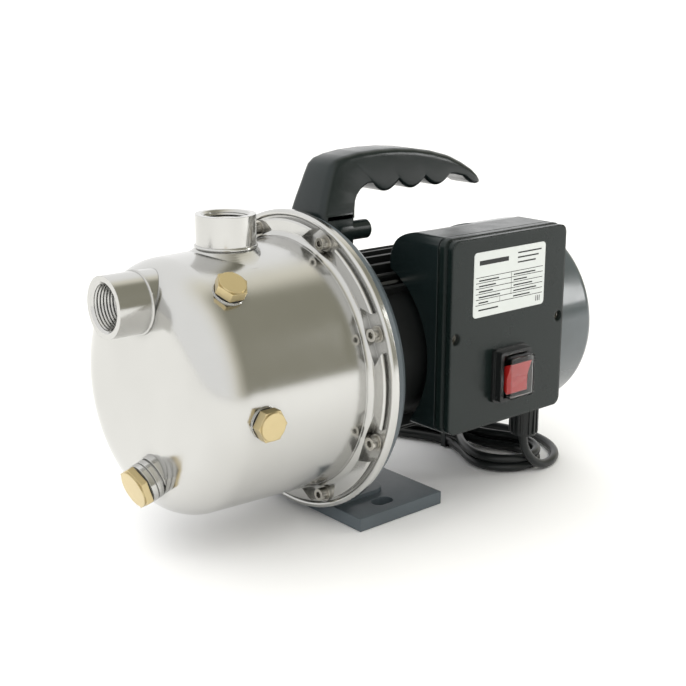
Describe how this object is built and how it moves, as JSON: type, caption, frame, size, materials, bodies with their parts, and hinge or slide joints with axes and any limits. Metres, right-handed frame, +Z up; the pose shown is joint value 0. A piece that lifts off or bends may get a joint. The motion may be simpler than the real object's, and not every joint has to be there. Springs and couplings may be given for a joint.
{
  "type": "shallow well jet pump",
  "caption": "Self-priming jet pump with a deep-drawn steel casing, threaded suction and discharge sockets, finned motor, side switch box, carry handle, foot plate and mains lead.",
  "frame": {"origin": "on the floor, centre of the foot plate underside", "axes": "+X along the shaft from the pump casing to the fan, +Z up along the discharge socket, the terminal box on the -Y side"},
  "size_m": [0.4048, 0.2269, 0.2615],
  "materials": {
    "stainless": "polished",
    "fasteners": "bright zinc",
    "brass": "satin",
    "adapter_paint": "semi-gloss slate paint on a casting",
    "motor_paint": "satin black paint on an extrusion",
    "cover_plastic": "gloss",
    "box_plastic": "fine matt",
    "handle_plastic": "satin",
    "label_foil": "matt foil",
    "rubber": "matt",
    "cord_rubber": "matt",
    "switch_black": "gloss",
    "rocker_red": "gloss",
    "clear_plastic": "clear",
    "inner_plastic": "natural glass-filled plastic",
    "ceramic": "smooth",
    "carbon": "smooth",
    "steel": "plain",
    "laminations": "varnished",
    "copper": "enamelled wire",
    "capacitor_shell": "gloss"
  },
  "bodies": {
    "pump": {"pump_casing": "stainless", "suction_socket": "stainless", "discharge_socket": "stainless", "drain_boss": "stainless", "ejector_body": "inner_plastic", "jet_nozzle": "brass", "venturi_tube": "inner_plastic", "diffuser": "inner_plastic", "seal_seat": "ceramic", "seal_plate": "stainless", "casing_gasket": "rubber", "flange_washers": "fasteners", "flange_screws": "fasteners", "adapter": "adapter_paint", "foot_plate": "adapter_paint", "foot_screws": "fasteners", "handle": "handle_plastic", "handle_screws": "fasteners", "motor_frame": "motor_paint", "stator_core": "laminations", "stator_windings": "copper", "front_bearing": "steel", "rear_bearing": "steel", "wave_spring": "steel", "rear_shield": "motor_paint", "tie_rods": "fasteners", "fan_cover": "cover_plastic", "fan_cover_screws": "fasteners", "box_base": "handle_plastic", "box_gasket": "rubber", "box_cover": "box_plastic", "box_screws": "fasteners", "rating_label": "label_foil", "terminal_block": "ceramic", "capacitor": "capacitor_shell", "switch_body": "switch_black", "splash_cap": "clear_plastic", "gland_body": "handle_plastic", "strain_relief": "cord_rubber", "power_cord": "cord_rubber", "cord_hank": "cord_rubber", "cord_tail": "cord_rubber", "cord_tie": "handle_plastic", "plug_body": "cord_rubber", "plug_pins": "brass"},
    "rotor": {"shaft": "steel", "rotor_core": "laminations", "impeller": "brass", "impeller_nut": "steel", "seal_rotor": "carbon", "seal_spring": "steel", "slinger": "rubber", "fan": "handle_plastic"},
    "rocker": {"switch_rocker": "rocker_red"},
    "priming": {"priming_plug": "brass", "priming_seal": "rubber"},
    "gauge": {"gauge_plug": "brass", "gauge_seal": "rubber"},
    "drain": {"drain_plug": "brass", "drain_seal": "rubber"}
  },
  "joints": [
    {"name": "rotor_spin", "type": "hinge", "parent": "pump", "child": "rotor", "pos_m": [0, 0, 0.114], "axis": [1, 0, 0], "continuous": true},
    {"name": "switch_rock", "type": "hinge", "parent": "pump", "child": "rocker", "pos_m": [0.079, -0.0955, 0.101], "axis": [1, 0, 0], "range_deg": [-18, 0]},
    {"name": "priming_plug_out", "type": "slide", "parent": "pump", "child": "priming", "axis": [0, -0.5736, 0.8192], "range_m": [0, 0.03]},
    {"name": "gauge_plug_out", "type": "slide", "parent": "pump", "child": "gauge", "axis": [0, -0.9986, -0.0523], "range_m": [0, 0.03]},
    {"name": "drain_plug_out", "type": "slide", "parent": "pump", "child": "drain", "axis": [-0.9511, 0, -0.309], "range_m": [0, 0.03]}
  ]
}
